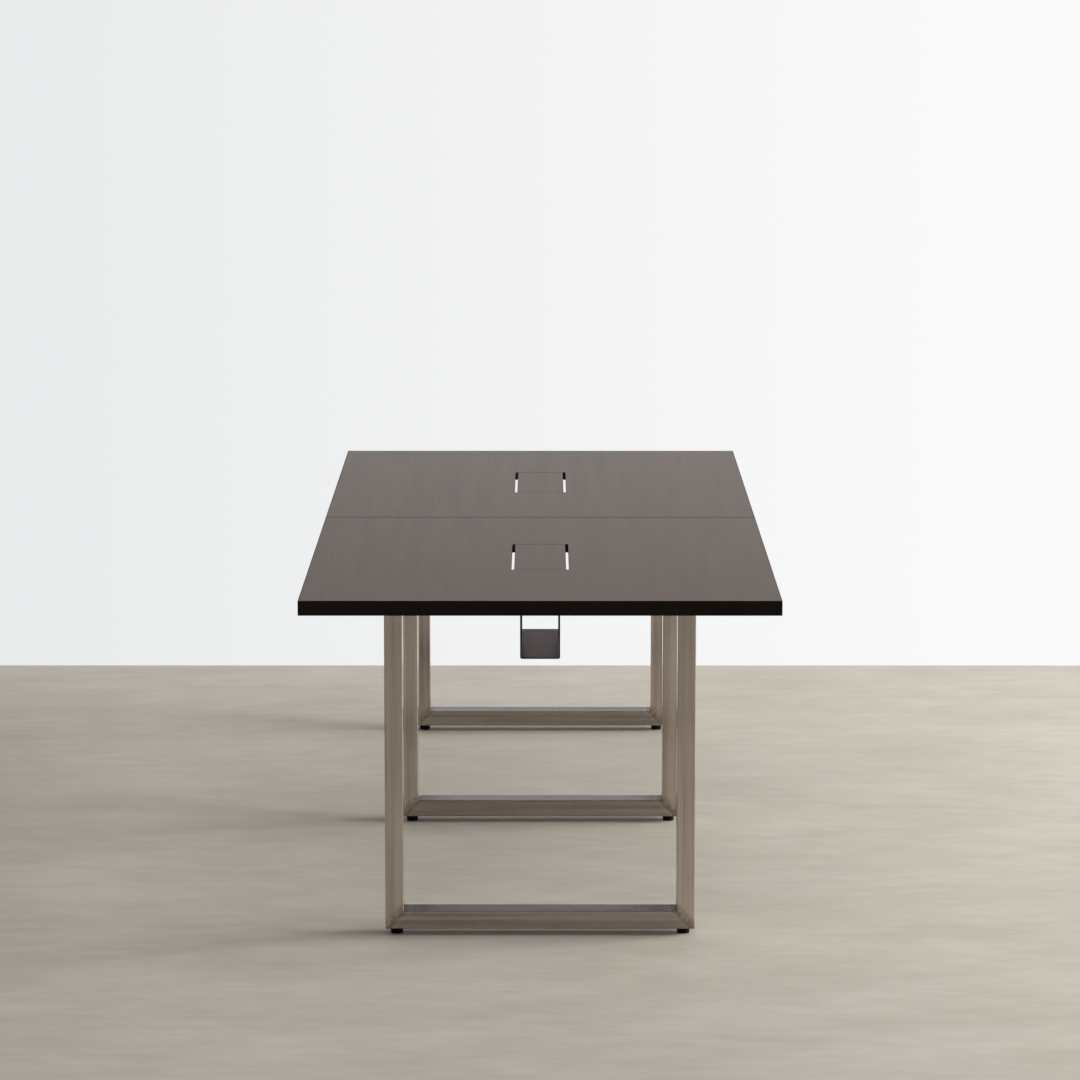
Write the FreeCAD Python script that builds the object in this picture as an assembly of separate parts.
# Conference table in two halves on three loop frames of rectangular tube, with a lidded cable hatch and a
# folded cable tray in the middle of each half.
# Lengths are in millimetres. X runs across the table, Y along it from the front end to the rear end.
# Z is up.
# The origin lies on the floor below the middle of the table.
import FreeCAD, Part
import math
import os

Vector = FreeCAD.Vector

# Whole table
table_length = 2400.0
table_width = 1000.0
table_height = 720.0

# Top halves: a facing sheet on a board, thickened at the rim by rails and closed by edge bands
seam_gap = 3.0
surface_thickness = 1.0
core_thickness = 18.0
rail_thickness = 12.0
band_thickness = 2.0
band_edge_radius = 1.0
side_rail_width = 80.0
end_rail_width = 160.0
seam_rail_width = 120.0

# Cable hatch in each half and the loose lid that fills it, but for a slot along each long side.
# The lid lies against the front end of the cut-out and leaves a finger gap at the rear end.
hatch_length = 366.0
hatch_width = 125.0
hatch_corner_radius = 6.0
cable_slot_width = 6.5
lid_front_gap = 1.2
lid_rear_gap = 3.4
lid_band_thickness = 1.0
lid_edge_radius = 0.6

# Cable tray: a deep channel, folded from sheet, with a post and an inward flange at each corner
tray_width = 86.5
tray_depth = 176.5
tray_sheet = 3.0
tray_bend_radius = 1.0
tray_flange_width = 24.0
tray_post_length = 45.0
tray_notch_depth = 46.0
tray_notch_radius = 10.0
tray_ear_length = 32.0
tray_ear_radius = 4.0
tray_hole_diameter = 4.8

# Loop frames
frame_side_inset = 176.0
frame_end_inset = 50.0
tube_face = 38.0
tube_depth = 65.0
tube_wall = 1.5
tube_inner_radius = 0.8

# Mounting plates across the heads of the uprights
plate_thickness = 6.0
plate_depth = 90.0
plate_corner_radius = 5.0
plate_hole_diameter = 6.8
bolt_row_inset = 26.0
bolt_reach_shares = (-0.8, -0.28, 0.28, 0.8)

# Levelling feet
foot_height = 15.0
foot_inset = 23.0
foot_top_diameter = 27.0
foot_base_diameter = 26.0
foot_edge_radius = 1.5
foot_travel = 10.0
stud_diameter = 8.0
stud_seat_depth = 8.0
stud_tip_chamfer = 0.8
stud_hole_clearance = 0.6
weld_nut_width = 14.0
weld_nut_height = 8.0
stud_spare_length = 5.0

# Joining plates under the seam
seam_plate_length = 110.0
seam_plate_width = 60.0
seam_plate_thickness = 3.0
seam_plate_inset = 50.0
seam_plate_radius = 5.0
seam_hole_inset = 14.0
seam_hole_diameter = 4.8

# Fasteners
bolt_diameter = 6.0
bolt_length = 18.0
bolt_head_diameter = 12.0
bolt_head_height = 3.0
insert_diameter = 10.0
insert_length = 15.0
screw_diameter = 4.0
screw_head_diameter = 8.0
screw_head_height = 2.6
tray_screw_length = 14.0
seam_screw_length = 13.0
head_round_share = 0.6

# Fits and cuts
thread_clearance = 0.08
seat_clearance = 0.05
tip_clearance = 0.5
cut_overrun = 2.0

# Levels and places that follow from the sizes
surface_underside = table_height - surface_thickness
core_underside = surface_underside - core_thickness
rail_underside = core_underside - rail_thickness
plate_underside = rail_underside - plate_thickness
frame_width = table_width - 2 * frame_side_inset
tube_outer_radius = tube_inner_radius + tube_wall
bar_topside = foot_height + tube_face
hatch_centre = (table_length + seam_gap) / 4
end_frame_centre = table_length / 2 - frame_end_inset - tube_depth / 2
foot_reach = frame_width / 2 - foot_inset
bolt_row_offset = plate_depth / 2 - bolt_row_inset
seam_plate_reach = table_width / 2 - seam_plate_inset - seam_plate_width / 2

quarter_turn = 90
halves = {"front": -1, "rear": 1}
frames = {"front": -end_frame_centre, "middle": 0, "rear": end_frame_centre}
sides = {"left": -1, "right": 1}


def export(name, *solids):
    shape = solids[0] if len(solids) == 1 else Part.makeCompound(solids)
    shape.exportStep(f"parts/{name}.step")
    print(name, "solids", len(shape.Solids), "valid", shape.isValid(), "volume", round(shape.Volume))


def block(x_ends, y_ends, z_ends):
    low = Vector(min(x_ends), min(y_ends), min(z_ends))
    high = Vector(max(x_ends), max(y_ends), max(z_ends))
    size = high - low
    return Part.makeBox(size.x, size.y, size.z, low)


def disc(diameter, x, y, z_ends):
    return Part.makeCylinder(diameter / 2, max(z_ends) - min(z_ends), Vector(x, y, min(z_ends)))


def about(middle, width):
    return (middle - width / 2, middle + width / 2)


def rounded_outline(width, height, radius):
    """Closed rectangle in the XY plane about the origin, with an arc at each corner."""
    half_w = width / 2
    half_h = height / 2
    centres = ((half_w - radius, half_h - radius), (radius - half_w, half_h - radius),
               (radius - half_w, radius - half_h), (half_w - radius, radius - half_h))
    arcs = []
    for quarter, (x, y) in enumerate(centres):
        start = quarter * quarter_turn
        arcs.append(Part.makeCircle(radius, Vector(x, y, 0), Vector(0, 0, 1), start, start + quarter_turn))
    edges = []
    for arc, following in zip(arcs, arcs[1:] + arcs[:1]):
        edges.append(arc)
        edges.append(Part.makeLine(arc.lastVertex().Point, following.firstVertex().Point))
    return Part.Wire(edges)


def rounded_bar(width, height, radius, length, axis):
    """Bar with rounded long edges, centred on the origin. Lying along X or Y, its height is up."""
    bar = Part.Face(rounded_outline(width, height, radius)).extrude(Vector(0, 0, length))
    bar.translate(Vector(0, 0, -length / 2))
    if axis == "y":
        bar.rotate(Vector(0, 0, 0), Vector(1, 0, 0), quarter_turn)
    if axis == "x":
        bar.rotate(Vector(0, 0, 0), Vector(1, 0, 0), quarter_turn)
        bar.rotate(Vector(0, 0, 0), Vector(0, 0, 1), quarter_turn)
    return bar


def moved(shape, x, y, z):
    shape.translate(Vector(x, y, z))
    return shape


def upright_prism(points, y_ends):
    """Prism along Y over a closed outline of (x, z) points."""
    corners = [Vector(x, min(y_ends), z) for x, z in points]
    face = Part.Face(Part.makePolygon(corners + corners[:1]))
    return face.extrude(Vector(0, max(y_ends) - min(y_ends), 0))


def pan_head_screw(x, y, seat, head_diameter, head_height, shank_diameter, shank_length):
    """Screw driven upward: domed head below the seat level, plain shank above it."""
    head = disc(head_diameter, x, y, (seat - head_height, seat))
    rim = [edge for edge in head.Edges if edge.BoundBox.ZMax < seat - head_height / 2]
    head = head.makeFillet(head_height * head_round_share, rim)
    return head.fuse(disc(shank_diameter, x, y, (seat, seat + shank_length)))


def small_screw(x, y, seat, length):
    return pan_head_screw(x, y, seat, screw_head_diameter, screw_head_height, screw_diameter, length)


def banded_rim(x_ends, y_ends, z_ends, thickness, radius):
    """Four edge strips round a panel: the two along Y run through, the two along X fit between them."""
    outer = block(x_ends, y_ends, z_ends)
    outer = outer.makeFillet(radius, outer.Edges)
    x_inner = (min(x_ends) + thickness, max(x_ends) - thickness)
    y_inner = (min(y_ends) + thickness, max(y_ends) - thickness)
    z_past = (min(z_ends) - cut_overrun, max(z_ends) + cut_overrun)
    y_past = (min(y_ends) - cut_overrun, max(y_ends) + cut_overrun)
    rim = outer.cut(block(x_inner, y_inner, z_past))
    strips = []
    for end, inner in zip((min(x_ends), max(x_ends)), x_inner):
        strips.append(rim.common(block((end, inner), y_past, z_past)).Solids[0])
    for end, inner in zip((min(y_ends), max(y_ends)), y_inner):
        strips.append(rim.common(block(x_inner, (end, inner), z_past)).Solids[0])
    return strips


def bolt_places(frame_y):
    reach = frame_width / 2
    return [(share * reach, frame_y + row * bolt_row_offset)
            for share in bolt_reach_shares for row in (-1, 1)]


def tray_screw_places(half_y):
    flat_start = tray_width / 2 - tray_flange_width
    flat_end = tray_width / 2 - tray_bend_radius - tray_sheet
    x = (flat_start + flat_end) / 2
    y = hatch_length / 2 + tray_ear_length / 2
    return [(side * x, half_y + end * y) for side in (-1, 1) for end in (-1, 1)]


def seam_screw_places():
    x = seam_plate_width / 2 - seam_hole_inset
    y = seam_plate_length / 2 - seam_hole_inset
    return [(side * seam_plate_reach + across * x, along * y)
            for side in (-1, 1) for across in (-1, 1) for along in (-1, 1)]


def bored(solid):
    """Takes the holes for every insert and screw that enters the underside of the top out of one piece."""
    insert_hole = insert_diameter + 2 * seat_clearance
    screw_hole = screw_diameter + 2 * seat_clearance
    tools = []
    for frame_y in frames.values():
        for x, y in bolt_places(frame_y):
            top = rail_underside + insert_length + tip_clearance
            tools.append(disc(insert_hole, x, y, (rail_underside - cut_overrun, top)))
    for way in halves.values():
        for x, y in tray_screw_places(way * hatch_centre):
            top = core_underside - tray_sheet + tray_screw_length + tip_clearance
            tools.append(disc(screw_hole, x, y, (core_underside - cut_overrun, top)))
    for x, y in seam_screw_places():
        top = rail_underside - seam_plate_thickness + seam_screw_length + tip_clearance
        tools.append(disc(screw_hole, x, y, (rail_underside - cut_overrun, top)))
    touching = [tool for tool in tools if tool.BoundBox.intersect(solid.BoundBox)]
    return solid.cut(touching) if touching else solid


def make_top_half(name, way):
    x_ends = about(0, table_width)
    y_ends = (way * seam_gap / 2, way * table_length / 2)
    strips = banded_rim(x_ends, y_ends, (rail_underside, table_height), band_thickness, band_edge_radius)
    export(f"{name}_edge_bands", *strips)

    x_board = about(0, table_width - 2 * band_thickness)
    seam_y = way * (seam_gap / 2 + band_thickness)
    end_y = way * (table_length / 2 - band_thickness)
    cut_reach = surface_thickness + core_thickness + cut_overrun
    cut_out = rounded_bar(hatch_width, hatch_length, hatch_corner_radius, 2 * cut_reach, "z")
    cut_out = moved(cut_out, 0, way * hatch_centre, table_height)
    core = block(x_board, (seam_y, end_y), (core_underside, surface_underside))
    export(f"{name}_top_core", bored(core.cut(cut_out)))
    surface = block(x_board, (seam_y, end_y), (surface_underside, table_height))
    export(f"{name}_top_surface", surface.cut(cut_out))

    z_ends = (rail_underside, core_underside)
    seam_inner = seam_y + way * seam_rail_width
    end_inner = end_y - way * end_rail_width
    export(f"{name}_seam_rail", bored(block(x_board, (seam_y, seam_inner), z_ends)))
    export(f"{name}_end_rail", bored(block(x_board, (end_y, end_inner), z_ends)))
    for side_name, side in sides.items():
        x_outer = side * max(x_board)
        x_inner = x_outer - side * side_rail_width
        export(f"{name}_{side_name}_rail", block((x_outer, x_inner), (seam_inner, end_inner), z_ends))


def make_lid(name, way):
    x_ends = about(0, hatch_width - 2 * cable_slot_width)
    y_hatch = about(way * hatch_centre, hatch_length)
    y_ends = (min(y_hatch) + lid_front_gap, max(y_hatch) - lid_rear_gap)
    z_ends = (core_underside, table_height)
    strips = banded_rim(x_ends, y_ends, z_ends, lid_band_thickness, lid_edge_radius)
    export(f"{name}_lid_edge_bands", *strips)
    x_board = (min(x_ends) + lid_band_thickness, max(x_ends) - lid_band_thickness)
    y_board = (min(y_ends) + lid_band_thickness, max(y_ends) - lid_band_thickness)
    export(f"{name}_lid_core", block(x_board, y_board, (core_underside, surface_underside)))
    export(f"{name}_lid_surface", block(x_board, y_board, (surface_underside, table_height)))


def make_tray(name, way):
    """Lipped channel along Y. Its flanges stay at the corners only and run past the ends as screw ears."""
    half_width = tray_width / 2
    half_length = hatch_length / 2
    outer_bend = tray_bend_radius + tray_sheet
    ear_end = half_length + tray_ear_length
    past = ear_end + cut_overrun
    tray = rounded_bar(tray_width, tray_depth, outer_bend, 2 * ear_end, "y")
    inner_width = tray_width - 2 * tray_sheet
    inner_depth = tray_depth - 2 * tray_sheet
    tray = tray.cut(rounded_bar(inner_width, inner_depth, tray_bend_radius, 2 * past, "y"))

    top = tray_depth / 2
    flange_low = top - tray_sheet
    x_open = half_width - tray_flange_width
    x_past = half_width + cut_overrun
    z_all = (-top - cut_overrun, top + cut_overrun)
    tools = [block((-x_open, x_open), (-past, past), (flange_low - tray_bend_radius, top + cut_overrun))]
    notch_length = 2 * (half_length - tray_post_length)
    notch = rounded_bar(notch_length, 2 * tray_notch_depth, tray_notch_radius, 2 * x_past, "x")
    tools.append(moved(notch, 0, 0, top))
    for end in (-1, 1):
        y_ends = (end * half_length, end * past)
        tools.append(block((-x_past, x_past), y_ends, (-top - cut_overrun, flange_low)))
        for side in (-1, 1):
            tools.append(block((side * (half_width - outer_bend), side * x_past), y_ends, z_all))
    tray = tray.cut(tools)
    ear_corners = []
    for edge in tray.Edges:
        box = edge.BoundBox
        upright = box.ZLength > max(box.XLength, box.YLength)
        if upright and abs(box.Center.y) > ear_end - tray_sheet:
            ear_corners.append(edge)
    tray = tray.makeFillet(tray_ear_radius, ear_corners)
    half_y = way * hatch_centre
    tray.translate(Vector(0, half_y, core_underside - top))
    z_hole = (core_underside - tray_sheet - cut_overrun, core_underside + cut_overrun)
    holes = [disc(tray_hole_diameter, x, y, z_hole) for x, y in tray_screw_places(half_y)]
    export(f"{name}_cable_tray", tray.cut(holes).Solids[0])
    seat = core_underside - tray_sheet
    screws = [small_screw(x, y, seat, tray_screw_length) for x, y in tray_screw_places(half_y)]
    export(f"{name}_tray_screws", *screws)


def square_tube(length, axis):
    """Rectangular tube of the loop frames. Upright its face lies along X, lying along X its face is up."""
    if axis == "z":
        outer = (tube_face, tube_depth)
    else:
        outer = (tube_depth, tube_face)
    inner = (outer[0] - 2 * tube_wall, outer[1] - 2 * tube_wall)
    tube = rounded_bar(*outer, tube_outer_radius, length, axis)
    return tube.cut(rounded_bar(*inner, tube_inner_radius, length + 2 * cut_overrun, axis))


def make_frame(name, frame_y):
    """Loop of tube: bottom bar and uprights meet in mitres, a flat plate closes the loop under the top."""
    half_width = frame_width / 2
    y_past = about(frame_y, tube_depth + 2 * cut_overrun)
    bar_outline = ((-half_width, foot_height), (half_width, foot_height),
                   (half_width - tube_face, bar_topside), (tube_face - half_width, bar_topside))
    bar = moved(square_tube(frame_width, "x"), 0, frame_y, foot_height + tube_face / 2)
    bar = bar.common(upright_prism(bar_outline, y_past))
    stud_hole = stud_diameter + 2 * stud_hole_clearance
    z_hole = (foot_height - cut_overrun, foot_height + tube_wall + cut_overrun)
    bar = bar.cut([disc(stud_hole, side * foot_reach, frame_y, z_hole) for side in (-1, 1)])
    export(f"{name}_bottom_bar", bar.Solids[0])

    height = plate_underside - foot_height
    for side_name, side in sides.items():
        x_outer = side * half_width
        x_inner = side * (half_width - tube_face)
        outline = ((x_outer, foot_height), (x_outer, plate_underside),
                   (x_inner, plate_underside), (x_inner, bar_topside))
        tube = moved(square_tube(height, "z"), (x_outer + x_inner) / 2, frame_y, foot_height + height / 2)
        export(f"{name}_{side_name}_upright", tube.common(upright_prism(outline, y_past)).Solids[0])

    plate = rounded_bar(frame_width, plate_depth, plate_corner_radius, plate_thickness, "z")
    plate = moved(plate, 0, frame_y, plate_underside + plate_thickness / 2)
    z_hole = (plate_underside - cut_overrun, rail_underside + cut_overrun)
    plate = plate.cut([disc(plate_hole_diameter, x, y, z_hole) for x, y in bolt_places(frame_y)])
    export(f"{name}_mounting_plate", plate.Solids[0])

    bolts = []
    inserts = []
    for x, y in bolt_places(frame_y):
        bolts.append(pan_head_screw(x, y, plate_underside, bolt_head_diameter, bolt_head_height,
                                    bolt_diameter, bolt_length))
        sleeve = disc(insert_diameter, x, y, (rail_underside, rail_underside + insert_length))
        bore_ends = (rail_underside - cut_overrun, rail_underside + insert_length + cut_overrun)
        inserts.append(sleeve.cut(disc(bolt_diameter + 2 * thread_clearance, x, y, bore_ends)))
    export(f"{name}_frame_bolts", *bolts)
    export(f"{name}_frame_inserts", *inserts)


def foot_pad(x, y):
    """Turned pad: rounded foot rim, slight taper, socket for the stud in its top face."""
    top_radius = foot_top_diameter / 2
    base_radius = foot_base_diameter / 2
    socket_radius = stud_diameter / 2 + seat_clearance
    socket_floor = foot_height - stud_seat_depth
    rim_start = Vector(base_radius - foot_edge_radius, 0, 0)
    rim_end = Vector(base_radius, 0, foot_edge_radius)
    bulge = foot_edge_radius * (1 - math.sqrt(0.5))
    arc = Part.Arc(rim_start, Vector(base_radius - bulge, 0, bulge), rim_end).toShape()
    path = [rim_end, Vector(top_radius, 0, foot_height), Vector(socket_radius, 0, foot_height),
            Vector(socket_radius, 0, socket_floor), Vector(0, 0, socket_floor), Vector(0, 0, 0), rim_start]
    outline = Part.Wire([arc] + Part.makePolygon(path).Edges)
    pad = Part.Face(outline).revolve(Vector(0, 0, 0), Vector(0, 0, 1), 360)
    return moved(pad, x, y, 0)


def foot_stud(x, y):
    reach = tube_wall + weld_nut_height + foot_travel + stud_spare_length
    stud = disc(stud_diameter, x, y, (foot_height - stud_seat_depth, foot_height + reach))
    tip = [edge for edge in stud.Edges if edge.BoundBox.ZMin > foot_height]
    return stud.makeChamfer(stud_tip_chamfer, tip)


def weld_nut(x, y):
    """Hexagon nut standing on the inside of the bar's lower wall."""
    seat = foot_height + tube_wall
    z_past = (seat - cut_overrun, seat + weld_nut_height + cut_overrun)
    nut = disc(2 * weld_nut_width, x, y, (seat, seat + weld_nut_height))
    for turn in (0, 60, 120):
        slab = block(about(0, 4 * weld_nut_width), about(0, weld_nut_width), z_past)
        slab.rotate(Vector(0, 0, 0), Vector(0, 0, 1), turn)
        nut = nut.common(moved(slab, x, y, 0))
    return nut.cut(disc(stud_diameter + 2 * thread_clearance, x, y, z_past))


def make_feet():
    nuts = []
    for frame_name, frame_y in frames.items():
        for side_name, side in sides.items():
            x = side * foot_reach
            export(f"{frame_name}_{side_name}_foot_pad", foot_pad(x, frame_y))
            export(f"{frame_name}_{side_name}_foot_stud", foot_stud(x, frame_y))
            nuts.append(weld_nut(x, frame_y))
    export("foot_weld_nuts", *nuts)


def make_seam_plates():
    seat = rail_underside - seam_plate_thickness
    z_hole = (seat - cut_overrun, rail_underside + cut_overrun)
    holes = [disc(seam_hole_diameter, x, y, z_hole) for x, y in seam_screw_places()]
    plates = []
    for side in (-1, 1):
        plate = rounded_bar(seam_plate_width, seam_plate_length, seam_plate_radius,
                            seam_plate_thickness, "z")
        plate = moved(plate, side * seam_plate_reach, 0, seat + seam_plate_thickness / 2)
        plates.append(plate.cut(holes).Solids[0])
    export("seam_plates", *plates)
    screws = [small_screw(x, y, seat, seam_screw_length) for x, y in seam_screw_places()]
    export("seam_screws", *screws)


os.makedirs("parts", exist_ok=True)
for half_name, half_way in halves.items():
    make_top_half(half_name, half_way)
    make_lid(half_name, half_way)
    make_tray(half_name, half_way)
for each_frame, each_y in frames.items():
    make_frame(each_frame, each_y)
make_feet()
make_seam_plates()
